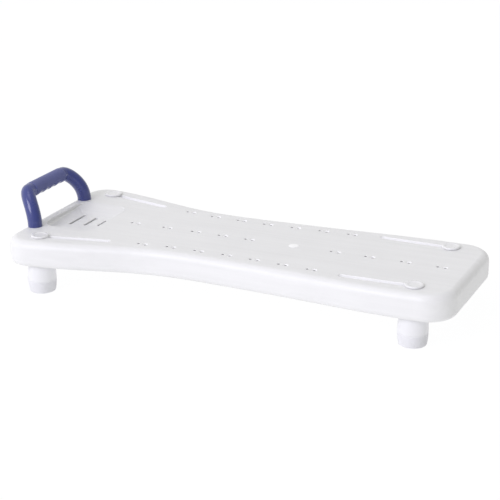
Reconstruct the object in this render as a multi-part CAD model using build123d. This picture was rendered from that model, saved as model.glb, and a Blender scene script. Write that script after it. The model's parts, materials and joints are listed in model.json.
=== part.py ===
from build123d import *
import os
from math import atan2, degrees, hypot

# Bath transfer bench: a hollow moulded board that lies across a bath, with a grab handle at one
# end and four screw feet that slide along slots to grip the bath's walls. Millimetres, +Z up.
# The origin is on the floor under the middle of the whole bench. +X runs from the handle end to
# the plain end, and +Y to the rear.

# Board
HANDLE_END_X = -341.5
PLAIN_END_X = 362.0
DECK_Z = 87.5
BOARD_T = 41.5
UNDER_Z = DECK_Z - BOARD_T
WALL = 3.2
TOP_EDGE_R = 12.0
UNDER_EDGE_R = 9.0
HANDLE_CORNER_R = 36.0
PLAIN_CORNER_R = 45.0
# Half widths of the waisted outline, from the handle end to the plain end.
HALF_WIDTHS = [(-341.5, 150.2), (-245, 138), (-115, 107), (5, 104), (125, 110), (250, 118), (362, 118.5)]
END_TANGENTS = [(1, -0.05), (1, 0)]

# Soap dish, moulded into the deck at the handle end, and its drain slots: (x, half length)
DISH_X0, DISH_X1 = -321.0, -235.0
DISH_HALF_Y = 63.0
DISH_DEPTH = 8.5
DISH_CORNER_R = 20.0
DISH_FILLET_R = 5.0
# Its rear side is a gentle ramp, which begins here and ends this far under the deck.
DISH_RAMP_Y = 27.5
DISH_REAR_STEP = 0.8
DISH_SLOTS = [(-294.0, 24.8), (-269.5, 20.5), (-248.0, 14.3)]
DISH_SLOT_W = 4.6
DISH_SLOT_TUBE_WALL = 2.5

# Drain holes, in pairs along X: a small one, then a larger countersunk one, as (radius, mouth radius)
SMALL_DRAIN = (1.8, 2.4)
LARGE_DRAIN = (2.3, 3.9)
DRAIN_TUBE_WALL = 2.4
DRAIN_HALF_PITCH = 5.6
SIDE_DRAIN_X = [6.5 + 46.0 * i for i in range(-3, 4)]
SIDE_DRAIN_INSET = 28.5
MIDDLE_DRAIN_X = (-188, -132, -82, -36, 9, 149, 203, 259, 314)

# Clamp slots: outer seat of the foot, and where its centre stops at the slot's inner end
SLOT_W = 9.0
TRAVEL = 105.0
HANDLE_FOOT = (-292.0, 114.5)
PLAIN_FOOT = (301.5, 86.0)
HANDLE_SLOT_END = (-178.4, 89.5)
PLAIN_SLOT_END = (188.2, 88.2)

# Clamp head and its stud
HEAD_R, HEAD_T = 14.0, 3.3
HEAD_EDGE_R = 1.4
CUP_R, CUP_DEPTH = 9.5, 0.8
NECK_W = 8.6
NECK_HALF_RUN = 3.0
NECK_END_Z = 49.0
SLOT_END_GAP = 0.4
STUD_R = 4.0
STUD_TOP_Z, STUD_END_Z = 80.0, 18.0

# Feet: the outer radius follows one barrel curve through the core and the sleeve
FOOT_TOP_GAP = 0.3
FOOT_TOP_Z = UNDER_Z - FOOT_TOP_GAP
FOOT_TOP_R, FOOT_SHOULDER_R, FOOT_SHOULDER_H = 18.4, 19.8, 1.5
BARREL_R, BARREL_Z = 21.6, 33.0
WASHER_R, WASHER_T = 15.0, 1.5
WASHER_GAP = 0.4
SLEEVE_TOP_Z, SLEEVE_TOP_R, SLEEVE_FLOOR = 20.0, 22.2, 4.0
SLEEVE_MID_R, SLEEVE_MID_Z = 21.7, 12.0
HEEL_R, HEEL_Z, TREAD_R = 20.1, 1.6, 18.2
CORE_IN_SLEEVE_R = 18.0
NUT_FLATS, NUT_T, NUT_TOP_Z = 13.0, 6.5, 39.5
THREAD_GAP = 0.05
HOLE_GAP = 0.3
FOOT_BORE_R = 8.8

# Handle: each leg rises from the deck and sweeps into the bar on one smooth curve
LEG_R = 11.3
LEG_X, LEG_Y = -325.5, 75.0
LEG_RISE = 29.2
BAR_X = -350.0
BAR_Z = DECK_Z + 47.3
BAR_HALF = 48.7
BAR_LEAD = 12.7
GRIP_R = 12.0
GRIP_CORE_R = 8.5
GRIP_HALF = 43.5
GRIP_EDGE_R = 0.6
SCALLOP_R, SCALLOP_DEPTH = 15.0, 1.6
SCALLOP_Y = [-27.0 + 18.0 * i for i in range(4)]

# Handle fixings, from below
BOLT_X = -322.5
SPIGOT_R, SPIGOT_END_Z = 6.5, 58.2
SOCKET_FLOOR_Z = 58.0
SOCKET_GAP = 0.1
BOSS_R = 14.5
INSERT_R, INSERT_TOP_Z = 4.6, 74.0
BOLT_SHANK_R, BOLT_END_Z = 3.0, 71.0
HANDLE_WASHER_R, HANDLE_WASHER_T = 6.8, 1.4
BOLT_HEAD_FLATS, BOLT_HEAD_T = 10.0, 4.0

# Centre plug, which closes the moulding opening, and the vent under the board
PLUG_X, PLUG_R, PLUG_T = 83.0, 8.0, 0.8
PLUG_EDGE_R = 0.6
PLUG_STEM_R, PLUG_STEM_L = 5.0, 9.0
PLUG_HOLE_GAP = 0.1
VENT_R, VENT_X = 2.0, -60.0

# How far a cutting tool runs past the surface it cuts
OVERRUN = 1.0


def column(radius, low, high, x=0.0, y=0.0):
    """A vertical cylinder between two heights."""
    return Pos(x, y, (low + high) / 2) * Cylinder(radius, high - low)


def prism(flats, low, high, x=0.0, y=0.0):
    """A vertical hexagonal prism, sized across its flats."""
    hexagon = RegularPolygon(flats / 2, 6, major_radius=False)
    return Pos(x, y, low) * extrude(hexagon, high - low)


def obround(x, y, angle, run, width, low, high):
    """A vertical slot-shaped block whose end centres are run apart."""
    shape = SlotCenterToCenter(run, width)
    return Pos(x, y, low) * Rot(0, 0, angle) * extrude(shape, high - low)


def turned(*outline):
    """A solid of revolution about Z from an outline drawn as radius and height."""
    return revolve(Plane.XZ * make_face(outline), Axis.Z)


def half_width(x):
    """The half width at x that places the drains: straight lines between the stations."""
    for (x0, w0), (x1, w1) in zip(HALF_WIDTHS, HALF_WIDTHS[1:]):
        if x0 <= x <= x1:
            return w0 + (w1 - w0) * (x - x0) / (x1 - x0)
    raise ValueError(x)


def board_blank(inset, low, high):
    """The board's outer form, shrunk by inset all round: waisted sides and rounded edges."""
    stations = [(x, w - inset) for x, w in HALF_WIDTHS]
    stations[0] = (HANDLE_END_X + inset, stations[0][1])
    stations[-1] = (PLAIN_END_X - inset, stations[-1][1])
    rear = Spline(stations, tangents=END_TANGENTS)
    front = mirror(rear, about=Plane.XZ)
    ends = [Line(rear @ 0, front @ 0), Line(rear @ 1, front @ 1)]
    blank = Pos(0, 0, low) * extrude(make_face([rear, front] + ends), high - low)
    corners = blank.edges().filter_by(Axis.Z).sort_by(Axis.X)
    blank = fillet(corners[:2], HANDLE_CORNER_R - inset)
    corners = blank.edges().filter_by(Axis.Z).sort_by(Axis.X)
    blank = fillet(corners[-2:], PLAIN_CORNER_R - inset)
    blank = fillet(blank.faces().sort_by(Axis.Z)[-1].edges(), TOP_EDGE_R - inset)
    return fillet(blank.faces().sort_by(Axis.Z)[0].edges(), UNDER_EDGE_R - inset)


def dish_blank(grow):
    """The soap dish's hollow, grown by the wall thickness where the wall around it is wanted."""
    size_x = DISH_X1 - DISH_X0 + 2 * grow
    size_y = 2 * (DISH_HALF_Y + grow)
    floor = DECK_Z - DISH_DEPTH - grow
    shape = RectangleRounded(size_x, size_y, DISH_CORNER_R + grow)
    middle = (DISH_X0 + DISH_X1) / 2
    hollow = Pos(middle, 0, floor) * extrude(shape, DECK_Z + OVERRUN - floor)
    bowl = fillet(hollow.faces().sort_by(Axis.Z)[0].edges(), DISH_FILLET_R)
    return bowl - dish_ramp(floor, DISH_HALF_Y + grow + OVERRUN)


def dish_ramp(floor, back_y):
    """The rise from the dish's floor to its rear side, as a wedge that runs across the dish."""
    slope = (DISH_DEPTH - DISH_REAR_STEP) / (DISH_HALF_Y - DISH_RAMP_Y)
    low = floor - OVERRUN
    corners = [(DISH_RAMP_Y - OVERRUN / slope, low), (back_y, low)]
    corners += [(back_y, floor + slope * (back_y - DISH_RAMP_Y))]
    side = Plane.YZ * make_face(Polyline(*corners, close=True))
    return extrude(side, WALL + OVERRUN - DISH_X0, both=True)


def dish_slots(width_grow, low, high):
    """The three through slots in the dish's floor, or the tubes of wall around them."""
    width = DISH_SLOT_W + 2 * width_grow
    return [obround(x, 0, 90, 2 * half - DISH_SLOT_W, width, low, high) for x, half in DISH_SLOTS]


def foot_stations():
    """Each foot's name, seat and unit direction inward along its slot."""
    ends = (("handle", HANDLE_FOOT, HANDLE_SLOT_END), ("plain", PLAIN_FOOT, PLAIN_SLOT_END))
    stations = {}
    for name, side in (("front", -1), ("rear", 1)):
        for end, seat, tip in ends:
            dx, dy = tip[0] - seat[0], side * (tip[1] - seat[1])
            run = hypot(dx, dy)
            stations[f"{end}_{name}"] = (seat[0], side * seat[1], dx / run, dy / run)
    return stations


def clamp_slot(station, grow, low, high):
    """One through slot, or the tube of wall around it."""
    x, y, dx, dy = station
    run = TRAVEL + 2 * (NECK_HALF_RUN + SLOT_END_GAP)
    middle_x, middle_y = x + dx * TRAVEL / 2, y + dy * TRAVEL / 2
    return obround(middle_x, middle_y, degrees(atan2(dy, dx)), run, SLOT_W + 2 * grow, low, high)


def drain_places():
    """Each drain's centre and size: two rows that follow the waist and one along the middle."""
    rows = [(x, 0.0) for x in MIDDLE_DRAIN_X]
    for x in SIDE_DRAIN_X:
        inset_y = half_width(x) - SIDE_DRAIN_INSET
        rows += [(x, inset_y), (x, -inset_y)]
    small = [(x - DRAIN_HALF_PITCH, y, SMALL_DRAIN) for x, y in rows]
    return small + [(x + DRAIN_HALF_PITCH, y, LARGE_DRAIN) for x, y in rows]


def drain_hole(x, y, radius, mouth_radius):
    """One drain: a straight hole with a countersunk mouth."""
    depth = mouth_radius - radius
    mouth = Pos(x, y, DECK_Z - depth / 2) * Cone(radius, mouth_radius, depth)
    return column(radius, UNDER_Z - OVERRUN, DECK_Z + OVERRUN, x, y) + mouth


def bolt_places():
    """The two places where a bolt holds the handle."""
    return [(BOLT_X, -LEG_Y), (BOLT_X, LEG_Y)]


def make_deck_shell():
    """The blow-moulded board: a hollow skin with a tube of wall round every opening."""
    low, high = UNDER_Z - OVERRUN, DECK_Z + OVERRUN
    stations = list(foot_stations().values())
    void = board_blank(WALL, UNDER_Z + WALL, DECK_Z - WALL)
    void -= [dish_blank(WALL)]
    void -= [clamp_slot(s, WALL, low, high) for s in stations]
    void -= [column(size[0] + DRAIN_TUBE_WALL, low, high, x, y) for x, y, size in drain_places()]
    void -= dish_slots(DISH_SLOT_TUBE_WALL, low, high)
    void -= [column(BOSS_R, low, high, x, y) for x, y in bolt_places()]
    shell = board_blank(0, UNDER_Z, DECK_Z) - void
    shell -= dish_blank(0)
    shell -= [clamp_slot(s, 0, low, high) for s in stations]
    shell -= [drain_hole(x, y, *size) for x, y, size in drain_places()]
    shell -= dish_slots(0, low, high)
    for x, y in bolt_places():
        shell -= column(SPIGOT_R + SOCKET_GAP, SOCKET_FLOOR_Z, high, x, y)
        shell -= column(BOLT_SHANK_R + HOLE_GAP, low, high, x, y)
    shell -= column(PLUG_STEM_R + PLUG_HOLE_GAP, DECK_Z - WALL - OVERRUN, high, PLUG_X)
    shell -= column(VENT_R, low, UNDER_Z + WALL + OVERRUN, VENT_X)
    return shell


def make_centre_plug():
    """A push-in cap with a low dome and a stem."""
    cap = column(PLUG_R, DECK_Z, DECK_Z + PLUG_T, PLUG_X)
    cap = fillet(cap.faces().sort_by(Axis.Z)[-1].edges(), PLUG_EDGE_R)
    return cap + column(PLUG_STEM_R, DECK_Z - PLUG_STEM_L, DECK_Z, PLUG_X)


def along_bar(radius, half_length):
    """A cylinder on the handle's bar."""
    return Pos(BAR_X, 0, BAR_Z) * Rot(90, 0, 0) * Cylinder(radius, 2 * half_length)


def handle_path():
    """The handle's centre line: up one leg, along the bar and down the other leg."""
    rear = [(LEG_X, LEG_Y, DECK_Z), (LEG_X, LEG_Y, DECK_Z + LEG_RISE)]
    rear += [(BAR_X, BAR_HALF + BAR_LEAD, BAR_Z), (BAR_X, BAR_HALF, BAR_Z)]
    front = [(x, -y, z) for x, y, z in rear]
    foot_z = DECK_Z - TOP_EDGE_R
    rise = [Line((LEG_X, -LEG_Y, foot_z), front[0]), Bezier(*front)]
    fall = [Bezier(*reversed(rear)), Line(rear[0], (LEG_X, LEG_Y, foot_z))]
    return Wire(rise + [Line(front[-1], rear[-1])] + fall)


def make_handle_frame():
    """The grab handle's moulded hoop, leaning outward, necked where the grip is moulded on."""
    start = Plane((LEG_X, -LEG_Y, DECK_Z - TOP_EDGE_R))
    hoop = sweep(start * Circle(LEG_R), path=handle_path())
    hoop -= along_bar(LEG_R + OVERRUN, GRIP_HALF)
    hoop += along_bar(GRIP_CORE_R, GRIP_HALF + OVERRUN)
    hoop -= board_blank(0, UNDER_Z, DECK_Z)
    for x, y in bolt_places():
        hoop += column(SPIGOT_R, SPIGOT_END_Z, DECK_Z + OVERRUN, x, y)
        hoop -= column(INSERT_R, SPIGOT_END_Z - OVERRUN, INSERT_TOP_Z, x, y)
    return hoop


def make_handle_grip():
    """The soft sleeve on the handle's bar, with finger scallops underneath."""
    sleeve = along_bar(GRIP_R, GRIP_HALF)
    sleeve = fillet(sleeve.edges().filter_by(GeomType.CIRCLE), GRIP_EDGE_R)
    sleeve -= along_bar(GRIP_CORE_R, GRIP_HALF + OVERRUN)
    scallop_z = BAR_Z - GRIP_R - SCALLOP_R + SCALLOP_DEPTH
    scallop = Rot(0, 90, 0) * Cylinder(SCALLOP_R, 3 * GRIP_R)
    return sleeve - [Pos(BAR_X, y, scallop_z) * scallop for y in SCALLOP_Y]


def make_handle_fixings():
    """The brass inserts, washers and bolts that hold the handle from below."""
    inserts, washers, bolts = [], [], []
    washer_z = UNDER_Z - HANDLE_WASHER_T
    for x, y in bolt_places():
        bush = column(INSERT_R, SPIGOT_END_Z, INSERT_TOP_Z, x, y)
        inserts.append(bush - column(BOLT_SHANK_R, 0, DECK_Z, x, y))
        ring = column(HANDLE_WASHER_R, washer_z, UNDER_Z, x, y)
        washers.append(ring - column(BOLT_SHANK_R + HOLE_GAP, 0, DECK_Z, x, y))
        head = prism(BOLT_HEAD_FLATS, washer_z - BOLT_HEAD_T, washer_z, x, y)
        bolts.append(head + column(BOLT_SHANK_R, washer_z, BOLT_END_Z, x, y))
    return {"handle_inserts": inserts, "handle_washers": washers, "handle_bolts": bolts}


def make_clamp_head(station):
    """The dished head on the deck, with the flat-sided neck that runs in the slot."""
    x, y, dx, dy = station
    head = column(HEAD_R, DECK_Z, DECK_Z + HEAD_T, x, y)
    head = fillet(head.faces().sort_by(Axis.Z)[-1].edges(), HEAD_EDGE_R)
    head -= column(CUP_R, DECK_Z + HEAD_T - CUP_DEPTH, DECK_Z + HEAD_T + OVERRUN, x, y)
    head += obround(x, y, degrees(atan2(dy, dx)), 2 * NECK_HALF_RUN, NECK_W, NECK_END_Z, DECK_Z)
    return head - column(STUD_R, 0, STUD_TOP_Z, x, y)


def make_clamp_stud(station):
    """The steel stud moulded into the neck."""
    return column(STUD_R, STUD_END_Z, STUD_TOP_Z, station[0], station[1])


def make_foot_washer(station):
    """The thrust washer between the board's underside and the foot."""
    ring = column(WASHER_R, UNDER_Z - WASHER_T, UNDER_Z, station[0], station[1])
    return ring - column(STUD_R, 0, DECK_Z, station[0], station[1])


def make_foot_core(station):
    """The barrel-shaped foot that is turned by hand to tighten the clamp."""
    shoulder_z = FOOT_TOP_Z - FOOT_SHOULDER_H
    side = Spline([(SLEEVE_TOP_R, SLEEVE_TOP_Z), (BARREL_R, BARREL_Z), (FOOT_SHOULDER_R, shoulder_z)])
    shoulder = Line(side @ 1, (FOOT_TOP_R, FOOT_TOP_Z))
    inner = Polyline((FOOT_TOP_R, FOOT_TOP_Z), (0, FOOT_TOP_Z), (0, SLEEVE_FLOOR),
                     (CORE_IN_SLEEVE_R, SLEEVE_FLOOR), (CORE_IN_SLEEVE_R, SLEEVE_TOP_Z), side @ 0)
    core = turned(side, shoulder, inner)
    core -= column(WASHER_R + WASHER_GAP, UNDER_Z - WASHER_T, UNDER_Z + OVERRUN)
    core -= column(STUD_R + HOLE_GAP, 0, DECK_Z)
    core -= prism(NUT_FLATS, NUT_TOP_Z - NUT_T, NUT_TOP_Z)
    core -= column(FOOT_BORE_R, 0, NUT_TOP_Z - NUT_T)
    return Pos(station[0], station[1], 0) * core


def make_foot_nut(station):
    """The hexagonal nut let into the foot."""
    nut = prism(NUT_FLATS, NUT_TOP_Z - NUT_T, NUT_TOP_Z)
    return Pos(station[0], station[1], 0) * (nut - column(STUD_R + THREAD_GAP, 0, DECK_Z))


def make_foot_sleeve(station):
    """The non-slip rubber shoe on the foot's lower half."""
    side = Spline([(HEEL_R, HEEL_Z), (SLEEVE_MID_R, SLEEVE_MID_Z), (SLEEVE_TOP_R, SLEEVE_TOP_Z)])
    heel = Line((TREAD_R, 0), side @ 0)
    inner = Polyline(side @ 1, (CORE_IN_SLEEVE_R, SLEEVE_TOP_Z), (CORE_IN_SLEEVE_R, SLEEVE_FLOOR),
                     (0, SLEEVE_FLOOR), (0, 0), (TREAD_R, 0))
    return Pos(station[0], station[1], 0) * turned(side, heel, inner)


def build():
    parts = {
        "deck_shell": make_deck_shell(),
        "centre_plug": make_centre_plug(),
        "handle_frame": make_handle_frame(),
        "handle_grip": make_handle_grip(),
    }
    for name, solids in make_handle_fixings().items():
        parts[name] = Compound(children=solids)
    for name, station in foot_stations().items():
        parts[f"clamp_head_{name}"] = make_clamp_head(station)
        parts[f"clamp_stud_{name}"] = make_clamp_stud(station)
        parts[f"foot_washer_{name}"] = make_foot_washer(station)
        parts[f"foot_core_{name}"] = make_foot_core(station)
        parts[f"foot_nut_{name}"] = make_foot_nut(station)
        parts[f"foot_sleeve_{name}"] = make_foot_sleeve(station)
    return parts


os.makedirs("parts", exist_ok=True)
for node, shape in build().items():
    export_step(shape, f"parts/{node}.step")
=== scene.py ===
# %% [markdown]
# # A bath transfer bench, finished in Blender
# The bench is a hollow moulded board that lies across a bath. Four screw feet hang under it in
# slots and grip the bath's walls, and a blue grab handle leans out at one end. Its sizes and joints
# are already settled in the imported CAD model. This lesson dresses that model: each visible piece is
# made again with soft edges and a real finish, and rides on the body that it belongs to.

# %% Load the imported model
import json
import math

import bmesh
import bpy
import numpy as np
from mathutils import Matrix, Vector


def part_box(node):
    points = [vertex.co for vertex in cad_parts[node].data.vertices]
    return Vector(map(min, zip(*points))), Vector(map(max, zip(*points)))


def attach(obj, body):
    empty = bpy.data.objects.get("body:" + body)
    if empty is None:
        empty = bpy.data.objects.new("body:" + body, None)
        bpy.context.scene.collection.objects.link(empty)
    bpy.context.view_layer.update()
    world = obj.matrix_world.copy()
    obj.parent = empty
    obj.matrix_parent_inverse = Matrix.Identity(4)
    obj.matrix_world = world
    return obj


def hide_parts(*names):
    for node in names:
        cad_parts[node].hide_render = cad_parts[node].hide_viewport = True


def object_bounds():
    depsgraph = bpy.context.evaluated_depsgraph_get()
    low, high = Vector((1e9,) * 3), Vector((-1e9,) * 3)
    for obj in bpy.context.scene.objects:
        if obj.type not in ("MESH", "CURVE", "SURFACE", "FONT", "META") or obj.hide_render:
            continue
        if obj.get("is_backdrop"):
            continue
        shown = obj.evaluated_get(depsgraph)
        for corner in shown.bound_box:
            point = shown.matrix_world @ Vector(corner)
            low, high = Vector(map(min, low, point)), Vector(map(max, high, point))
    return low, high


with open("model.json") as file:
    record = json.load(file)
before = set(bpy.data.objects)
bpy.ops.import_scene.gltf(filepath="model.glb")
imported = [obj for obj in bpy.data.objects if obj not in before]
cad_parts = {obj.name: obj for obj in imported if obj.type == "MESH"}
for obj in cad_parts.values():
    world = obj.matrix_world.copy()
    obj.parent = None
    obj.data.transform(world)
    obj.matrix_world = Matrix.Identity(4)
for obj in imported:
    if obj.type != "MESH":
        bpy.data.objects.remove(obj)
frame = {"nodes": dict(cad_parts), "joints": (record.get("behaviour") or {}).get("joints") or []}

CAD_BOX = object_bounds()
MM = 0.001

# %% [markdown]
# ## The stage
# A bath board is shown best on a plain white sweep. The floor gives out its own even light, like a
# light table, so that it stays white right up to the feet and lights the board's underside. It is
# clear from below, so that the underside can be looked at too.

# %% Floor
def node_material(name):
    """A new material with an empty node tree, and that tree's nodes and links."""
    material = bpy.data.materials.new(name)
    material.use_nodes = True
    tree = material.node_tree
    tree.nodes.clear()
    return material, tree.nodes, tree.links


def light_table(strength):
    """White light from an even sheet, a little cloth under it, and clear from below."""
    material, nodes, links = node_material("white_sweep")
    out = nodes.new("ShaderNodeOutputMaterial")
    side = nodes.new("ShaderNodeNewGeometry")
    choose = nodes.new("ShaderNodeMixShader")
    lit = nodes.new("ShaderNodeAddShader")
    glow = nodes.new("ShaderNodeEmission")
    cloth = nodes.new("ShaderNodeBsdfDiffuse")
    clear = nodes.new("ShaderNodeBsdfTransparent")
    glow.inputs["Strength"].default_value = strength
    cloth.inputs["Color"].default_value = (0.05, 0.05, 0.052, 1.0)
    links.new(glow.outputs[0], lit.inputs[0])
    links.new(cloth.outputs[0], lit.inputs[1])
    links.new(side.outputs["Backfacing"], choose.inputs[0])
    links.new(lit.outputs[0], choose.inputs[1])
    links.new(clear.outputs[0], choose.inputs[2])
    links.new(choose.outputs[0], out.inputs["Surface"])
    return material


FLOOR_SIZE, FLOOR_GLOW = 40.0, 0.96
bpy.ops.mesh.primitive_plane_add(size=FLOOR_SIZE)
floor = bpy.context.object
floor.name = "floor"
floor.data.materials.append(light_table(FLOOR_GLOW))
floor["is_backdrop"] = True
print("floor glows at", FLOOR_GLOW)

# %% [markdown]
# ## The lights
# White plastic on a white floor shows its shape only by small steps in brightness. Light from all
# round comes first, from an air that is brighter toward the handle end than the plain end, so the
# plain end's face falls into a soft shade. A large softbox in front then lifts the long side, and a
# weak one overhead keeps the deck even.

# %% Softboxes
def softbox(name, azimuth, elevation, distance, size, brightness, tint):
    """A square soft light, placed by its direction from the board. A brightness of 1 would make a
    white card that faces it just white."""
    a, e = math.radians(azimuth), math.radians(elevation)
    place = Vector((math.sin(a) * math.cos(e), -math.cos(a) * math.cos(e), math.sin(e))) * distance
    data = bpy.data.lights.new(name, "AREA")
    data.size = size
    data.energy = brightness * math.pi ** 2 * distance ** 2
    data.color = tint
    lamp = bpy.data.objects.new(name, data)
    bpy.context.scene.collection.objects.link(lamp)
    lamp.location = place
    lamp.rotation_euler = (-place).to_track_quat("-Z", "Y").to_euler()
    return lamp


COOL = (0.97, 0.95, 1.09)
softbox("key_softbox", azimuth=-20, elevation=31, distance=7.0, size=3.4, brightness=0.38,
        tint=COOL)
softbox("top_softbox", azimuth=0, elevation=80, distance=7.0, size=3.5, brightness=0.09,
        tint=COOL)
print("lights:", [lamp.name for lamp in bpy.data.lights])

# %% Graded air
AIR_COLOUR = (1.0, 1.0, 0.96, 1.0)
HANDLE_SIDE_AIR, PLAIN_SIDE_AIR = 1.06, 0.42


def graded_air(handle_side, plain_side):
    """A world whose light goes evenly from one strength at -X to another at +X."""
    world = bpy.data.worlds.new("studio_air")
    world.use_nodes = True
    tree = world.node_tree
    air = tree.nodes["Background"]
    air.inputs["Color"].default_value = AIR_COLOUR
    way = tree.nodes.new("ShaderNodeTexCoord")
    parts = tree.nodes.new("ShaderNodeSeparateXYZ")
    level = tree.nodes.new("ShaderNodeMapRange")
    level.inputs["From Min"].default_value, level.inputs["From Max"].default_value = -1.0, 1.0
    level.inputs["To Min"].default_value = handle_side
    level.inputs["To Max"].default_value = plain_side
    tree.links.new(way.outputs["Generated"], parts.inputs["Vector"])
    tree.links.new(parts.outputs["X"], level.inputs["Value"])
    tree.links.new(level.outputs["Result"], air.inputs["Strength"])
    return world


bpy.context.scene.world = graded_air(HANDLE_SIDE_AIR, PLAIN_SIDE_AIR)
bpy.context.scene.view_settings.view_transform = "Standard"
print("air from", HANDLE_SIDE_AIR, "to", PLAIN_SIDE_AIR)

# %% [markdown]
# ## The camera
# It looks down a little from in front of the plain end, through a long lens, so the long board
# hardly narrows with distance. It is placed by its direction from a point near the middle of the
# board, then rolled by half a degree.

# %% Camera
CAMERA_AZIMUTH, CAMERA_ELEVATION = math.radians(24.75), math.radians(19.88)
CAMERA_DISTANCE, CAMERA_LENS, CAMERA_SENSOR, CAMERA_FAR = 2.161, 104.4, 36.0, 60.0
CAMERA_ROLL = math.radians(-0.49)
CAMERA_AIM = Vector((0.0307, -0.0439, 0.0879))

camera_data = bpy.data.cameras.new("camera")
camera = bpy.data.objects.new("camera", camera_data)
bpy.context.scene.collection.objects.link(camera)
bpy.context.scene.camera = camera
back = Vector((math.sin(CAMERA_AZIMUTH) * math.cos(CAMERA_ELEVATION),
               -math.cos(CAMERA_AZIMUTH) * math.cos(CAMERA_ELEVATION), math.sin(CAMERA_ELEVATION)))
camera.location = CAMERA_AIM + back * CAMERA_DISTANCE
level_turn = (-back).to_track_quat("-Z", "Y").to_matrix()
camera.rotation_euler = (level_turn @ Matrix.Rotation(CAMERA_ROLL, 3, "Z")).to_euler()
camera_data.sensor_width = CAMERA_SENSOR
camera_data.lens = CAMERA_LENS
camera_data.clip_end = CAMERA_FAR
print("camera at", tuple(round(v, 3) for v in camera.location))

# %% [markdown]
# ## Finishes
# Nothing on this bench is painted. The board is white polyethylene with a satin skin, the handle is
# a glossy blue moulding and its grip a matt rubbery one. A moulded skin is never one flat colour:
# it has flow marks, a fine orange peel and scuffs where it is handled. So one recipe serves them
# all: a cloudy tint over the base colour, a roughness that wanders, and two scales of bump, all of
# them read from Object coordinates so that they hold still on the piece. A faint glow is painted
# light: it brightens the lips and walls of the long slots, the countersinks of the larger drains and
# the plug. A dark grey is painted shade inside the drains.

# %% One recipe for moulded plastic
COAT_ROUGHNESS = 0.12
BROAD_BUMP = 1.6  # how much deeper the broad waves are than the fine peel


def moulded(name, colour, roughness, *, cloud=0.03, peel=0.00006, peel_scale=900.0, streak=0.0,
            coat=0.0, specular=0.5, sheen=0.0, wander=0.08, scuff=0.0, glow=0.0):
    """Moulded plastic or rubber: tint clouds, flow streaks, scuffs, an orange-peel bump and, where
    glow is given, a painted glow.
    """
    material, nodes, links = node_material(name)
    out = nodes.new("ShaderNodeOutputMaterial")
    skin = nodes.new("ShaderNodeBsdfPrincipled")
    skin.inputs["Coat Weight"].default_value = coat
    # Emission is painted light: a faint glow that brightens a part which is no lamp.
    skin.inputs["Emission Color"].default_value = (1.0, 1.0, 1.0, 1.0)
    skin.inputs["Emission Strength"].default_value = glow
    skin.inputs["Coat Roughness"].default_value = COAT_ROUGHNESS
    skin.inputs["Specular IOR Level"].default_value = specular
    skin.inputs["Sheen Weight"].default_value = sheen
    place = nodes.new("ShaderNodeTexCoord")

    def noise(scale, detail, stretch=(1.0, 1.0, 1.0)):
        turn = nodes.new("ShaderNodeMapping")
        turn.inputs["Scale"].default_value = stretch
        made = nodes.new("ShaderNodeTexNoise")
        made.inputs["Scale"].default_value = scale
        made.inputs["Detail"].default_value = detail
        links.new(place.outputs["Object"], turn.inputs["Vector"])
        links.new(turn.outputs["Vector"], made.inputs["Vector"])
        return made.outputs["Fac"]

    def ramp(source, low, high, at=(0.3, 0.7)):
        made = nodes.new("ShaderNodeMapRange")
        made.inputs["From Min"].default_value, made.inputs["From Max"].default_value = at
        made.inputs["To Min"].default_value, made.inputs["To Max"].default_value = low, high
        links.new(source, made.inputs["Value"])
        return made.outputs["Result"]

    def combine(operation, first, second):
        made = nodes.new("ShaderNodeMath")
        made.operation = operation
        links.new(first, made.inputs[0])
        links.new(second, made.inputs[1])
        return made.outputs["Value"]

    clouds = ramp(noise(14.0, 4.0), 1.0 - cloud, 1.0)
    streaks = ramp(noise(60.0, 5.0, (0.05, 2.2, 2.2)), 1.0 - streak, 1.0, (0.35, 0.65))
    scuffs = ramp(noise(70.0, 8.0, (0.5, 1.0, 1.0)), 0.0, 1.0, (0.60, 0.72))
    tint = nodes.new("ShaderNodeMix")
    tint.data_type = "RGBA"
    tint.blend_type = "MULTIPLY"
    tint.inputs["Factor"].default_value = 1.0
    tint.inputs["A"].default_value = (*colour, 1.0)
    grey = nodes.new("ShaderNodeCombineColor")
    shade = combine("MULTIPLY", clouds, streaks)
    for socket in grey.inputs:
        if socket.name in ("Red", "Green", "Blue"):
            links.new(shade, socket)
    links.new(grey.outputs["Color"], tint.inputs["B"])
    links.new(tint.outputs["Result"], skin.inputs["Base Color"])
    wandering = ramp(noise(40.0, 6.0), roughness - wander / 2, roughness + wander / 2)
    rubbed = ramp(scuffs, 0.0, scuff, (0.0, 1.0))
    links.new(combine("ADD", wandering, rubbed), skin.inputs["Roughness"])
    fine = nodes.new("ShaderNodeBump")
    fine.inputs["Strength"].default_value = 1.0
    fine.inputs["Distance"].default_value = peel
    links.new(noise(peel_scale, 3.0), fine.inputs["Height"])
    broad = nodes.new("ShaderNodeBump")
    broad.inputs["Strength"].default_value = 1.0
    broad.inputs["Distance"].default_value = peel * BROAD_BUMP
    links.new(combine("ADD", noise(90.0, 2.0), streaks), broad.inputs["Height"])
    links.new(fine.outputs["Normal"], broad.inputs["Normal"])
    links.new(broad.outputs["Normal"], skin.inputs["Normal"])
    links.new(skin.outputs["BSDF"], out.inputs["Surface"])
    return material


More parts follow.
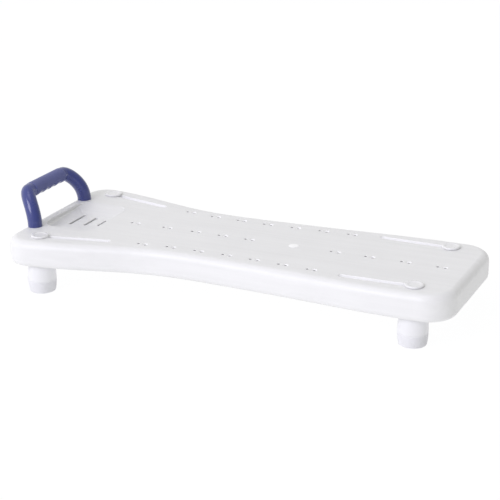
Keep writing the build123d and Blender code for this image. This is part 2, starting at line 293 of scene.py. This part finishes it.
BOARD_WHITE = moulded("board_white", (0.80, 0.80, 0.815), 0.42, streak=0.03, scuff=0.12)
# Painted light: a faint glow that brightens the slot lips and walls and the larger drains'
# countersinks.
LIP_PAINTED_GLOW = moulded("lip_painted_glow", (0.84, 0.84, 0.86), 0.45, glow=0.11)
# Painted light: a faint glow that brightens the plug.
CAP_PAINTED_GLOW = moulded("cap_painted_glow", (0.88, 0.88, 0.90), 0.30, glow=0.06)
# Painted shade: a dark grey inside the drains' holes.
DRAIN_PAINTED_SHADE = moulded("drain_painted_shade", (0.22, 0.22, 0.23), 0.6, cloud=0.2)
CLAMP_WHITE = moulded("clamp_white", (0.80, 0.80, 0.82), 0.24, scuff=0.15)
FOOT_WHITE = moulded("foot_white", (0.80, 0.80, 0.83), 0.40)
SHOE_WHITE = moulded("shoe_white_rubber", (0.79, 0.79, 0.825), 0.5, peel=0.00009, scuff=0.1)
HANDLE_BLUE = moulded("handle_blue", (0.032, 0.046, 0.225), 0.28, coat=0.5, cloud=0.10,
                      peel=0.000004, wander=0.05, scuff=0.02)
GRIP_BLUE = moulded("grip_blue", (0.10, 0.115, 0.305), 0.68, specular=0.35, sheen=0.15, cloud=0.12,
                    peel=0.00022, peel_scale=620.0)


# %% [markdown]
# The studs, nuts, washers and bolts are plated steel and the inserts are brass. Turning leaves fine
# rings round a part, so the grain is a noise squeezed along Z.

# %% One recipe for bare metal
def bare_metal(name, colour, roughness):
    """Turned or plated metal with a fine machining grain."""
    material, nodes, links = node_material(name)
    out = nodes.new("ShaderNodeOutputMaterial")
    skin = nodes.new("ShaderNodeBsdfPrincipled")
    skin.inputs["Metallic"].default_value = 1.0
    place = nodes.new("ShaderNodeTexCoord")
    turn = nodes.new("ShaderNodeMapping")
    turn.inputs["Scale"].default_value = (1.0, 1.0, 30.0)
    grain = nodes.new("ShaderNodeTexNoise")
    grain.inputs["Scale"].default_value = 120.0
    grain.inputs["Detail"].default_value = 6.0
    tint = nodes.new("ShaderNodeMix")
    tint.data_type = "RGBA"
    tint.inputs["A"].default_value = (*[c * 0.82 for c in colour], 1.0)
    tint.inputs["B"].default_value = (*colour, 1.0)
    rough = nodes.new("ShaderNodeMapRange")
    rough.inputs["To Min"].default_value = roughness - 0.08
    rough.inputs["To Max"].default_value = roughness + 0.10
    bump = nodes.new("ShaderNodeBump")
    bump.inputs["Distance"].default_value = 0.00004
    links.new(place.outputs["Object"], turn.inputs["Vector"])
    links.new(turn.outputs["Vector"], grain.inputs["Vector"])
    links.new(grain.outputs["Fac"], tint.inputs["Factor"])
    links.new(grain.outputs["Fac"], rough.inputs["Value"])
    links.new(grain.outputs["Fac"], bump.inputs["Height"])
    links.new(tint.outputs["Result"], skin.inputs["Base Color"])
    links.new(rough.outputs["Result"], skin.inputs["Roughness"])
    links.new(bump.outputs["Normal"], skin.inputs["Normal"])
    links.new(skin.outputs["BSDF"], out.inputs["Surface"])
    return material


STEEL = bare_metal("plated_steel", (0.60, 0.61, 0.63), 0.32)
BRASS = bare_metal("turned_brass", (0.70, 0.52, 0.24), 0.30)
print("finishes:", [material.name for material in bpy.data.materials])

# %% [markdown]
# ## Reading places from the frame
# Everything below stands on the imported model: the deck's height, each foot's centre, the direction
# in which its clamp slides and how far it goes all come from it.

# %% Places
deck_low, deck_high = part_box("deck_shell")
DECK_Z, UNDER_Z = deck_high.z, deck_low.z
CORNERS = ("handle_front", "handle_rear", "plain_front", "plain_rear")
SLIDE_JOINTS = [joint for joint in frame["joints"] if joint["type"] == "slide"]
SLIDES = {joint["child"]: Vector(joint["axis"]).normalized() for joint in SLIDE_JOINTS}
TRAVEL = max(joint["range_m"][1] for joint in SLIDE_JOINTS)


def middle_of(node):
    """The middle of a CAD node's box."""
    low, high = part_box(node)
    return (low + high) / 2


SEATS = {corner: middle_of(f"clamp_stud_{corner}") for corner in CORNERS}
print("deck at", round(DECK_Z, 4))
for corner, seat in SEATS.items():
    print(corner, "foot at", round(seat.x, 3), round(seat.y, 3))

# %% [markdown]
# Every piece goes through one helper, which gives it its finish, lets it ride on its body, and
# hides the CAD nodes that it is seen instead of.

# %% A helper that turns a mesh into a piece
def piece(name, bm_or_mesh, material, body, stands_for):
    """Makes the object, gives it its finish, and lets it ride on its body."""
    if isinstance(bm_or_mesh, bmesh.types.BMesh):
        mesh = bpy.data.meshes.new(name)
        bm_or_mesh.to_mesh(mesh)
        bm_or_mesh.free()
    else:
        mesh = bm_or_mesh
    mesh.polygons.foreach_set("use_smooth", [True] * len(mesh.polygons))
    if mesh.materials:  # clearing an empty list would still reset each face's own finish
        mesh.materials.clear()
    mesh.materials.append(material)
    made = bpy.data.objects.new(name, mesh)
    bpy.context.scene.collection.objects.link(made)
    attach(made, body)
    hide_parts(*stands_for)
    print(name, "faces:", len(mesh.polygons))
    return made


FLAT_FACE_WEIGHT = 80


def weigh_normals(made):
    """Keeps broad flat faces flat in smooth shading, as they are on the real moulding."""
    weight = made.modifiers.new("flat_faces", "WEIGHTED_NORMAL")
    weight.mode = "FACE_AREA"
    weight.weight = FLAT_FACE_WEIGHT
    weight.keep_sharp = True
    return made


# %% [markdown]
# ## The board
# The real board is blow-moulded: a tube of molten plastic is blown out against a mould, so every
# edge is round and every slot is a tunnel with its own wall. A box with a bevel could not have the
# waist, the dish and fifty openings at once. So each opening is a closed outline with a rounded
# lip: the outline is copied at the heights and insets of the lip's profile, the copies are joined
# with faces, and the flat skin is then filled in between all the lips. The outline comes first: a
# smooth curve through seven half widths, with an arc at each corner.

# %% The waisted outline
STATIONS = np.array([(-341.5, 150.2), (-245, 138), (-115, 107), (5, 104), (125, 110), (250, 118),
                     (362, 118.5)])
HANDLE_CORNER_R, PLAIN_CORNER_R = 36.0, 45.0
TOP_EDGE_R, UNDER_EDGE_R = 12.0, 9.0
FIRST_SLOPE, LAST_SLOPE = -0.05, 0.0
SIDE_SAMPLES = 2801


def half_width(x):
    """The board's half width at x in millimetres: a smooth curve through the stations."""
    xs, ws = STATIONS[:, 0], STATIONS[:, 1]
    run, rise = np.diff(xs), np.diff(ws) / np.diff(xs)
    count = len(xs)
    lines, sums = np.eye(count), np.zeros(count)
    sums[0], sums[-1] = FIRST_SLOPE, LAST_SLOPE
    for i in range(1, count - 1):
        lines[i, i - 1:i + 2] = run[i], 2 * (run[i - 1] + run[i]), run[i - 1]
        sums[i] = 3 * (run[i] * rise[i - 1] + run[i - 1] * rise[i])
    slope = np.linalg.solve(lines, sums)
    k = np.clip(np.searchsorted(xs, x) - 1, 0, count - 2)
    t = (x - xs[k]) / run[k]
    start, end = ws[k], ws[k + 1]
    return (start * (1 + 2 * t) * (1 - t) ** 2 + end * t * t * (3 - 2 * t)
            + run[k] * (slope[k] * t * (1 - t) ** 2 - slope[k + 1] * t * t * (1 - t)))


def rounded_corner(places, normals, radius, end, way):
    """The first place along a side where an arc of that radius also touches the board's end."""
    centres = places - radius * normals
    reach = way * (centres[:, 0] + way * radius - end)
    if way > 0:
        return int(np.argmax(reach > 0))
    return len(reach) - 1 - int(np.argmax(reach[::-1] > 0))


def board_outline(step=5.0):
    """Points and outward normals round the board, in millimetres."""
    xs = np.linspace(STATIONS[0, 0], STATIONS[-1, 0], SIDE_SAMPLES)
    side = np.stack([xs, half_width(xs)], 1)
    along = np.gradient(side, axis=0)
    normal = np.stack([-along[:, 1], along[:, 0]], 1)
    normal /= np.linalg.norm(normal, axis=1)[:, None]
    first = rounded_corner(side, normal, HANDLE_CORNER_R, xs[0], -1)
    last = rounded_corner(side, normal, PLAIN_CORNER_R, xs[-1], 1)
    points, normals = [], []

    def arc(index, radius, start, stop, count=14):
        centre = side[index] - radius * normal[index]
        for angle in np.linspace(start, stop, count):
            out = np.array([math.cos(angle), math.sin(angle)])
            points.append(centre + radius * out)
            normals.append(out)

    lean = [math.atan2(*normal[i][::-1]) for i in (first, last)]
    arc(first, HANDLE_CORNER_R, math.pi, lean[0])
    hop = max(1, int(step / (xs[1] - xs[0])))
    for i in range(first + hop, last - hop // 2, hop):
        points.append(side[i])
        normals.append(normal[i])
    arc(last, PLAIN_CORNER_R, lean[1], 0.0)
    points, normals = np.array(points), np.array(normals)
    flip = np.array([1.0, -1.0])
    all_round = np.concatenate([points, points[::-1] * flip])
    return all_round, np.concatenate([normals, normals[::-1] * flip])


OUTLINE, OUTLINE_OUT = board_outline()
print("outline points:", len(OUTLINE))


# %% [markdown]
# Three kinds of outline do for all the openings: round for the drains, long with round ends for the
# slots, and a rectangle with round corners for the dish. Each comes with its outward normals, so
# that it can be grown or shrunk along a profile.

# %% Outlines of the openings
def round_outline(x, y, radius, count=20):
    """A circle."""
    angles = np.linspace(0, 2 * math.pi, count, endpoint=False)
    out = np.stack([np.cos(angles), np.sin(angles)], 1)
    return np.array([x, y]) + radius * out, out


def slot_outline(start, end, radius, count=9):
    """A slot with round ends whose centres are start and end."""
    start, end = np.array(start, float), np.array(end, float)
    turn = math.atan2(*(end - start)[::-1])
    points, normals = [], []
    for centre, first in ((end, turn - math.pi / 2), (start, turn + math.pi / 2)):
        for angle in np.linspace(first, first + math.pi, count):
            out = np.array([math.cos(angle), math.sin(angle)])
            points.append(centre + radius * out)
            normals.append(out)
    return np.array(points), np.array(normals)


def rounded_rectangle(x0, x1, y0, y1, radius, count=8):
    """A rectangle whose corners are arcs, each of so many points."""
    points, normals = [], []
    for cx, cy, first in ((x1 - radius, y1 - radius, 0), (x0 + radius, y1 - radius, 90),
                          (x0 + radius, y0 + radius, 180), (x1 - radius, y0 + radius, 270)):
        for angle in np.radians(np.linspace(first, first + 90, count)):
            out = np.array([math.cos(angle), math.sin(angle)])
            points.append(np.array([cx, cy]) + radius * out)
            normals.append(out)
    return np.array(points), np.array(normals)


def quarter(radius, steps):
    """Grow and drop along a quarter-round lip, from the flat skin into the opening."""
    angles = np.linspace(0, math.pi / 2, steps + 1)
    return [(radius * (1 - math.sin(a)), radius * (1 - math.cos(a))) for a in angles]


def loft(bm, outline, profile):
    """Copies a closed outline at each (grow, height) of the profile and joins the copies."""
    points, normals = outline
    rings = []
    for grow, height in profile:
        flat = (points + normals * grow) * MM
        rings.append([bm.verts.new((x, y, height * MM)) for x, y in flat])
    for upper, lower in zip(rings, rings[1:]):
        count = len(upper)
        for i in range(count):
            j = (i + 1) % count
            bm.faces.new((upper[i], upper[j], lower[j], lower[i]))
    return rings[0], rings[-1]


def fill_between(bm, rings):
    """Fills the flat skin between closed rings, leaving the inner ones open."""
    edges = []
    for ring in rings:
        for a, b in zip(ring, ring[1:] + ring[:1]):
            edges.append(bm.edges.get((a, b)) or bm.edges.new((a, b)))
    bmesh.ops.triangle_fill(bm, use_beauty=True, use_dissolve=False, edges=edges)


# %% [markdown]
# The openings' sizes are in millimetres. The drains stand in pairs, a small hole and a larger one:
# seven pairs along each side, which follow the waist, and nine down the middle.

# %% The openings' sizes
TOP, UNDER = DECK_Z / MM, UNDER_Z / MM
SLOT_R, SLOT_SPARE, SLOT_LIP = 4.5, 3.4, 0.8
DISH = (-321.0, -235.0, -63.0, 63.0)
DISH_CORNER, DISH_DEPTH, DISH_FILLET, DISH_LIP = 20.0, 8.5, 5.0, 1.6
DISH_SLOTS, DISH_SLOT_R = ((-294.0, 24.8), (-269.5, 20.5), (-248.0, 14.3)), 2.3
SIDE_DRAIN_X = [6.5 + 46.0 * i for i in range(-3, 4)]
MIDDLE_DRAIN_X = (-188, -132, -82, -36, 9, 149, 203, 259, 314)
DRAIN_INSET, DRAIN_HALF_PITCH = 28.5, 5.6
SMALL_DRAIN, LARGE_DRAIN = (1.8, 2.4), (2.3, 3.9)
LEG_X, LEG_Y = -325.5 * MM, 75.0 * MM


def drain_rows():
    """The centre of each pair of drains: two rows that follow the waist and one in the middle."""
    across = np.interp(SIDE_DRAIN_X, STATIONS[:, 0], STATIONS[:, 1]) - DRAIN_INSET
    sides = [(x, s * y) for x, y in zip(SIDE_DRAIN_X, across) for s in (-1, 1)]
    return sides + [(x, 0.0) for x in MIDDLE_DRAIN_X]


print("pairs of drains:", len(drain_rows()))


# %% [markdown]
# Light catches on a lip, so the lips matter more than the walls below them. A slot has a
# quarter-round above and below, and a drain has a countersunk mouth.

# %% Lips and walls
SINK_SOFT, BROKEN_EDGE = 0.3, 0.5


def through_slot(lip, foot, top=TOP):
    """The profile of a slot from the skin at top down to the underside: lip, wall, lip."""
    down = [(grow, top - drop) for grow, drop in quarter(lip, steps=4)]
    return down + [(grow, UNDER + drop) for grow, drop in reversed(quarter(foot, steps=3))]


def drain_profile(radius, mouth):
    """A countersunk mouth, a straight hole and a broken edge below."""
    sink = mouth - radius
    return [(sink + SINK_SOFT, TOP), (sink, TOP - SINK_SOFT / 2), (SINK_SOFT / 2, TOP - sink),
            (0.0, TOP - sink - SINK_SOFT), (0.0, UNDER + BROKEN_EDGE), (BROKEN_EDGE, UNDER)]


print("points down a large drain:", len(drain_profile(*LARGE_DRAIN)))

# %% [markdown]
# The dish has a wall in front and at its two ends, but its floor climbs to the deck at the rear. So
# the dish is made with four walls first. Its faces are then cut into strips across, and whatever
# lies below the ramp is lifted up to it.

# %% The ramp at the rear of the dish
RAMP_Y, REAR_STEP, RAMP_BLEND = 27.5, 0.2, 3.0
RAMP_STRIPS, NEAR = 14, 0.01


def ramp_height(y):
    """The ramp's height at y, which leaves the dish's floor in a soft curve."""
    slope = (DISH_DEPTH - REAR_STEP) / (DISH[3] - RAMP_Y)
    rise = slope * (y - RAMP_Y)
    return TOP - DISH_DEPTH + (rise + math.hypot(rise, RAMP_BLEND * slope)) / 2


def ramp_the_dish(bm):
    """Cuts the dish's faces into strips across, then lifts whatever lies below the ramp."""
    x0, x1, _, y1 = DISH

    def in_dish(point):
        x, y, z = point / MM
        return (x0 - DISH_LIP < x < x1 + DISH_LIP
                and RAMP_Y - 2 * RAMP_BLEND < y < y1 + DISH_LIP + NEAR
                and TOP - DISH_DEPTH - NEAR < z < TOP + NEAR)

    for y in np.linspace(RAMP_Y - 1.5 * RAMP_BLEND, y1 - 1, RAMP_STRIPS):
        faces = [f for f in bm.faces if in_dish(f.calc_center_median())]
        edges, verts = {e for f in faces for e in f.edges}, {v for f in faces for v in f.verts}
        bmesh.ops.bisect_plane(bm, geom=[*verts, *edges, *faces], dist=1e-6,
                               plane_co=(0, y * MM, 0), plane_no=(0, 1, 0))
    for v in bm.verts:
        if in_dish(v.co):
            v.co.z = max(v.co.z, ramp_height(v.co.y / MM) * MM)


# %% [markdown]
# Now the rim, the openings and the dish are lofted, and the deck, the underside and the dish's
# floor are filled between them. The lips and walls of the long slots and the countersinks of the
# larger drains get a painted glow, and the holes of the drains a painted shade.

# %% Build the board
# The board's materials: bare skin, a painted glow, and a painted shade.
BARE, PAINTED_GLOW_FACES, PAINTED_SHADE_FACES = 0, 1, 2
# Each drain's hole gets the painted shade, and a larger drain's countersink the painted glow.
DRAIN_FINISH = {-1: (BARE, BARE, PAINTED_SHADE_FACES), 1: (BARE, PAINTED_GLOW_FACES, PAINTED_SHADE_FACES)}


def make_board():
    """The whole board as one closed skin, with every opening through it."""
    bm = bmesh.new()
    rim = [(-inset, TOP - drop) for inset, drop in quarter(TOP_EDGE_R, steps=9)]
    heel = [(-inset, UNDER + drop) for inset, drop in reversed(quarter(UNDER_EDGE_R, steps=7))]
    deck_ring, under_ring = loft(bm, (OUTLINE, OUTLINE_OUT), rim + heel)
    top_rings, under_rings, floor_rings = [deck_ring], [under_ring], []

    def open_through(outline, profile, above=top_rings, finish=(BARE,)):
        """One opening. Its finishes go from the lip down, and the last one goes on to the end."""
        before = len(bm.faces)
        upper, lower = loft(bm, outline, profile)
        above.append(upper)
        under_rings.append(lower)
        bm.faces.ensure_lookup_table()
        for i, face in enumerate(bm.faces[before:]):
            face.material_index = finish[min(i // len(upper), len(finish) - 1)]

    for corner, seat in SEATS.items():
        way = SLIDES[f"clamp_{corner}"]
        start = seat / MM - way * SLOT_SPARE
        end = seat / MM + way * (TRAVEL / MM + SLOT_SPARE)
        # From halfway down its upper lip, a slot's faces carry the painted glow.
        open_through(slot_outline(start.xy, end.xy, SLOT_R),
                     through_slot(lip=SLOT_LIP, foot=SLOT_LIP), finish=(BARE, BARE, PAINTED_GLOW_FACES))
    for x, y in drain_rows():
        for side, (radius, mouth) in ((-1, SMALL_DRAIN), (1, LARGE_DRAIN)):
            hole = round_outline(x + side * DRAIN_HALF_PITCH, y, radius)
            open_through(hole, drain_profile(radius, mouth), finish=DRAIN_FINISH[side])
    floor_z = TOP - DISH_DEPTH
    lip = [(grow, TOP - drop) for grow, drop in quarter(DISH_LIP, steps=5)]
    bowl = [(DISH_FILLET * (math.cos(a) - 1), floor_z + DISH_FILLET * (1 - math.sin(a)))
            for a in np.linspace(0, math.pi / 2, 8)]
    rim_ring, bowl_ring = loft(bm, rounded_rectangle(*DISH, DISH_CORNER), lip + bowl)
    top_rings.append(rim_ring)
    floor_rings.append(bowl_ring)
    for x, half in DISH_SLOTS:
        shape = slot_outline((x, DISH_SLOT_R - half), (x, half - DISH_SLOT_R), DISH_SLOT_R, count=7)
        open_through(shape, through_slot(lip=0.7, foot=0.5, top=floor_z), floor_rings)
    for rings in (top_rings, under_rings, floor_rings):
        fill_between(bm, rings)
    ramp_the_dish(bm)
    bmesh.ops.recalc_face_normals(bm, faces=bm.faces[:])
    return bm


board = weigh_normals(piece("board", make_board(), BOARD_WHITE, "bench", ["deck_shell"]))
# The painted glow and the painted shade come second and third.
board.data.materials.append(LIP_PAINTED_GLOW)
board.data.materials.append(DRAIN_PAINTED_SHADE)

# %% [markdown]
# ## The clamps
# Each clamp is a cupped button that lies on the deck, with a flat-sided neck down in the slot. The
# button is turned: a profile of its rim and cup is spun about the foot's axis by a Screw modifier,
# made at the origin and then put in its place. The feet and the plug are turned in the same way.

# %% Turned pieces
MERGE_DISTANCE = 0.00001


def turned(name, profile, place, material, body, stands_for, steps=64, extra=None):
    """Spins a closed profile of (radius, height) millimetres about Z, then sets it at place."""
    mesh = bpy.data.meshes.new(name)
    points = [(r * MM, 0.0, z * MM) for r, z in profile]
    closed = profile[0][0] > 0 or profile[-1][0] > 0
    edges = [(i, i + 1) for i in range(len(points) - 1)]
    if closed:
        edges.append((len(points) - 1, 0))
    mesh.from_pydata(points, edges, [])
    spun = bpy.data.objects.new(name, mesh)
    bpy.context.scene.collection.objects.link(spun)
    screw = spun.modifiers.new("turn", "SCREW")
    screw.steps = screw.render_steps = steps
    screw.use_merge_vertices = True
    screw.merge_threshold = MERGE_DISTANCE
    screw.use_smooth_shade = True
    bpy.context.view_layer.update()
    graph = bpy.context.evaluated_depsgraph_get()
    finished = bpy.data.meshes.new_from_object(spun.evaluated_get(graph))
    bpy.data.objects.remove(spun)
    bm = bmesh.new()
    bm.from_mesh(finished)
    if extra:
        extra(bm)
    bmesh.ops.recalc_face_normals(bm, faces=bm.faces[:])
    bmesh.ops.translate(bm, verts=bm.verts[:], vec=(place.x, place.y, 0.0))
    return weigh_normals(piece(name, bm, material, body, stands_for))


# %% Clamp buttons
HEAD_R, HEAD_T, CUP_R, CUP_DEPTH = 14.0, 3.3, 9.5, 0.8
NECK_HALF_W, NECK_HALF_RUN, NECK_END = 4.3, 3.0, 49.0
HEAD_TOP, CUP_FLOOR = TOP + HEAD_T, TOP + HEAD_T - CUP_DEPTH
HEAD = [
    (0.0, CUP_FLOOR), (CUP_R - 2.4, CUP_FLOOR), (CUP_R - 1.2, CUP_FLOOR + 0.15),  # the cup
    (CUP_R - 0.2, HEAD_TOP - 0.25), (CUP_R + 0.5, HEAD_TOP - 0.04), (CUP_R + 1.2, HEAD_TOP),
    (HEAD_R - 1.9, HEAD_TOP), (HEAD_R - 1.1, HEAD_TOP - 0.2), (HEAD_R - 0.45, HEAD_TOP - 0.7),
    (HEAD_R - 0.08, HEAD_TOP - 1.5), (HEAD_R, TOP + 0.9), (HEAD_R - 0.1, TOP + 0.5),
    (HEAD_R - 0.9, TOP + 0.35), (HEAD_R - 0.9, TOP), (0.0, TOP)]  # a small step above the deck


def make_clamp(corner):
    """A turned button with a flat-sided neck below it, long in the direction that it slides."""
    way = SLIDES[f"clamp_{corner}"]

    def add_neck(bm):
        start, end = -way * NECK_HALF_RUN, way * NECK_HALF_RUN
        profile = [(0.0, TOP - 0.05), (0.0, NECK_END + 0.5), (-0.5, NECK_END)]
        upper, lower = loft(bm, slot_outline(start.xy, end.xy, NECK_HALF_W), profile)
        bm.faces.new(upper)
        bm.faces.new(lower)

    return turned(f"clamp_button_{corner}", HEAD, SEATS[corner], CLAMP_WHITE, f"clamp_{corner}",
                  [f"clamp_head_{corner}"], extra=add_neck)


for corner in CORNERS:
    make_clamp(corner)

# %% [markdown]
# ## The feet
# A foot is turned by hand until it grips, so it is a plain barrel, with a soft ribbed shoe pressed
# over its lower half to hold on wet enamel. Both are hollow, with room for the stud and the nut.

# %% Feet
FOOT_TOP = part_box("foot_core_handle_front")[1].z / MM
SHOE_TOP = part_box("foot_sleeve_handle_front")[1].z / MM
SHOE_BORE = 18.0
RIBS, GROOVE = 9, 0.6
BARREL_R, BARREL_Z, BARREL_CURVE = 22.2, 22.0, 0.0045
WASHER_SEAT_R, WASHER_SEAT_Z, NUT_SEAT_Z, STUD_HOLE_R, BORE_R = 15.4, 44.5, 33.0, 4.4, 8.8
SHOE_FLOOR, TREAD_RINGS, TREAD_DEPTH, TURN_STEPS = 4.0, (14.0, 10.5, 7.0), 0.8, 72


def barrel_radius(z):
    """The foot's outer radius at a height: a barrel that is widest near its middle."""
    return BARREL_R - BARREL_CURVE * (z - BARREL_Z) ** 2


def foot_profile():
    """From the stud's hole, over the shoulder and down the barrel, then up inside."""
    top = [(STUD_HOLE_R, WASHER_SEAT_Z), (WASHER_SEAT_R, WASHER_SEAT_Z),
           (WASHER_SEAT_R + 0.1, FOOT_TOP - 0.2), (WASHER_SEAT_R + 0.4, FOOT_TOP),
           (18.0, FOOT_TOP), (18.7, FOOT_TOP - 0.3), (19.2, FOOT_TOP - 0.8)]
    side = [(barrel_radius(z), z) for z in np.linspace(FOOT_TOP - 1.8, SHOE_TOP + 0.5, 10)]
    lip = barrel_radius(SHOE_TOP)
    below = [(lip - 0.06, SHOE_TOP + 0.12), (lip - 0.2, SHOE_TOP + 0.02), (SHOE_BORE, SHOE_TOP),
             (SHOE_BORE, SHOE_FLOOR), (BORE_R, SHOE_FLOOR), (BORE_R, NUT_SEAT_Z),
             (STUD_HOLE_R, NUT_SEAT_Z)]
    return top + side + below


def shoe_profile():
    """Fine ribs down the outside, then a tread of three rings on the sole."""
    lip = barrel_radius(SHOE_TOP)
    points = [(SHOE_BORE, SHOE_TOP), (lip - 0.2, SHOE_TOP), (lip - 0.06, SHOE_TOP - 0.1),
              (lip, SHOE_TOP - 0.3)]
    low, high = 2.2, SHOE_TOP - 1.0
    pitch = (high - low) / RIBS
    for i in range(RIBS):
        z = high - i * pitch
        for fall, inset in ((0.0, 0.0), (0.45, 0.0), (0.6, GROOVE), (0.85, GROOVE)):
            points.append((barrel_radius(z - fall * pitch) - inset, z - fall * pitch))
    heel = barrel_radius(low)
    points += [(heel, low), (heel - 0.2, 1.4), (heel - 0.7, 0.6), (heel - 1.5, 0.12),
               (heel - 2.3, 0.0)]
    for ring in TREAD_RINGS:
        points += [(ring + 0.9, 0.0), (ring + 0.6, TREAD_DEPTH), (ring - 0.6, TREAD_DEPTH),
                   (ring - 0.9, 0.0)]
    return points + [(0.0, 0.0), (0.0, SHOE_FLOOR), (SHOE_BORE, SHOE_FLOOR)]


for corner in CORNERS:
    turned(f"foot_{corner}", foot_profile(), SEATS[corner], FOOT_WHITE, f"foot_{corner}",
           [f"foot_core_{corner}"], steps=TURN_STEPS)
    turned(f"shoe_{corner}", shoe_profile(), SEATS[corner], SHOE_WHITE, f"foot_{corner}",
           [f"foot_sleeve_{corner}"], steps=TURN_STEPS)

# %% [markdown]
# ## The handle
# The hoop is one bent moulding of one thickness, so a curve with a round bevel gives it exactly.
# Its legs don't stand straight and then bend: each one sweeps in a single curve from the deck into
# the bar, so two Bezier points make it. One more point on each side starts the leg below the deck.
# The bar between the two sweeps carries the grip.

# %% The hoop
LEG_R, LEG_RISE = 11.3, 29.2 * MM
BAR_HALF, BAR_LEAD = 48.7 * MM, 12.7 * MM
grip_low, grip_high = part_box("handle_grip")
GRIP_HALF = grip_high.y
GRIP_R = (grip_high.x - grip_low.x) / 2
BAR_X, BAR_Z = (grip_low.x + grip_high.x) / 2, grip_high.z - GRIP_R
SUNK = 10.0 * MM


def make_hoop():
    """On each side: a point below the deck, the leg's foot, and where it has swept into the bar."""
    up, along = Vector((0, 0, 1)), Vector((0, 1, 0))
    anchors = []
    for side, order in ((-1, 1), (1, -1)):
        foot = Vector((LEG_X, side * LEG_Y, DECK_Z))
        bar_end = Vector((BAR_X, side * BAR_HALF, BAR_Z))
        below = foot - up * SUNK
        leg = [(below, below - up * MM, below + up * MM),
               (foot, foot - up * MM, foot + up * LEG_RISE),
               (bar_end, bar_end + along * side * BAR_LEAD, bar_end - along * side * BAR_LEAD)]
        anchors += [(place, *(lead, follow)[::order]) for place, lead, follow in leg[::order]]
    data = bpy.data.curves.new("hoop_line", "CURVE")
    data.dimensions = "3D"
    line = data.splines.new("BEZIER")
    line.bezier_points.add(len(anchors) - 1)
    for point, (place, left, right) in zip(line.bezier_points, anchors):
        point.handle_left_type = point.handle_right_type = "FREE"
        point.co, point.handle_left, point.handle_right = place, left, right
    data.resolution_u = 28
    data.bevel_depth = LEG_R * MM
    data.bevel_resolution = 12
    data.use_fill_caps = True
    holder = bpy.data.objects.new("hoop_line", data)
    bpy.context.scene.collection.objects.link(holder)
    bpy.context.view_layer.update()
    graph = bpy.context.evaluated_depsgraph_get()
    mesh = bpy.data.meshes.new_from_object(holder.evaluated_get(graph))
    bpy.data.objects.remove(holder)
    return mesh


piece("handle_hoop", make_hoop(), HANDLE_BLUE, "bench", ["handle_frame"])

# %% [markdown]
# ## The grip
# The grip is a softer sleeve moulded on the bar, with four shallow scallops underneath for the
# fingers. It is a coarse tube of rings whose underside is drawn in at each finger, and a
# Subdivision Surface rounds it.

# %% The grip
SCALLOPS = [(-27.0 + 18.0 * i) * MM for i in range(4)]
SCALLOP_DEPTH, SCALLOP_HALF = 1.7 * MM, 9.0 * MM
GRIP_END = 0.0015


def grip_radius(y, angle):
    """The sleeve's radius: drawn in below each finger and rolled in at its two ends."""
    below = max(0.0, -math.sin(angle)) ** 0.7
    hollow = sum(max(0.0, math.cos((y - s) / SCALLOP_HALF * math.pi / 2)) ** 2
                 for s in SCALLOPS if abs(y - s) < SCALLOP_HALF)
    return GRIP_R - SCALLOP_DEPTH * below * hollow


def make_grip(around=32, along=57):
    """Rings along the bar, with a cap at each end."""
    bm = bmesh.new()
    rings = []
    edge = [(LEG_R * MM - 0.0006, 0.0), (GRIP_R - 0.0007, 0.0), (GRIP_R - 0.0002, 0.0004)]
    ys = [(-GRIP_HALF + inset, radius) for radius, inset in edge]
    ys += [(y, None) for y in np.linspace(-GRIP_HALF + GRIP_END, GRIP_HALF - GRIP_END, along)]
    ys += [(GRIP_HALF - inset, radius) for radius, inset in reversed(edge)]
    for y, fixed in ys:
        ring = []
        for k in range(around):
            angle = 2 * math.pi * k / around
            radius = fixed or grip_radius(y, angle)
            x, z = BAR_X + radius * math.cos(angle), BAR_Z + radius * math.sin(angle)
            ring.append(bm.verts.new((x, y, z)))
        rings.append(ring)
    for first, second in zip(rings, rings[1:]):
        for k in range(around):
            j = (k + 1) % around
            bm.faces.new((first[k], first[j], second[j], second[k]))
    bm.faces.new(rings[0])
    bm.faces.new(rings[-1])
    bmesh.ops.recalc_face_normals(bm, faces=bm.faces[:])
    return bm


grip = piece("handle_grip_sleeve", make_grip(), GRIP_BLUE, "bench", ["handle_grip"])
rounder = grip.modifiers.new("round", "SUBSURF")
rounder.levels = rounder.render_levels = 1

# %% [markdown]
# ## The small fittings
# The plug closes the hole that the board was blown through. The hidden hardware is shown as the
# CAD made it, in plated steel and brass.

# %% Centre plug
plug_low, plug_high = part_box("centre_plug")
PLUG_R = (plug_high.x - plug_low.x) / 2 / MM
PLUG = [(0.0, TOP + 0.8), (4.5, TOP + 0.72), (PLUG_R - 1.6, TOP + 0.55), (PLUG_R - 0.7, TOP + 0.38),
        (PLUG_R - 0.2, TOP + 0.12), (PLUG_R, TOP - 0.2), (5.0, TOP - 0.25), (5.0, TOP - 8.6),
        (4.6, TOP - 9.0), (0.0, TOP - 9.0)]
# The cap carries a faint painted glow that brightens it.
turned("centre_cap", PLUG, middle_of("centre_plug"), CAP_PAINTED_GLOW, "bench", ["centre_plug"],
       steps=48)

# %% [markdown]
# Whatever CAD node is still shown at this point is hardware, and it keeps its CAD shape.

# %% Hardware
for name, node in frame["nodes"].items():
    if node.hide_render:
        continue
    metal = BRASS if name == "handle_inserts" else STEEL
    node.data.materials.clear()
    node.data.materials.append(metal)
    print(name, "in", metal.name)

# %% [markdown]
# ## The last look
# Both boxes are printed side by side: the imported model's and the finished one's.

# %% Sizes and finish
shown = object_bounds()
for title, bounds in (("CAD box", CAD_BOX), ("visual box", shown)):
    print(title, [[round(c, 4) for c in corner] for corner in bounds])
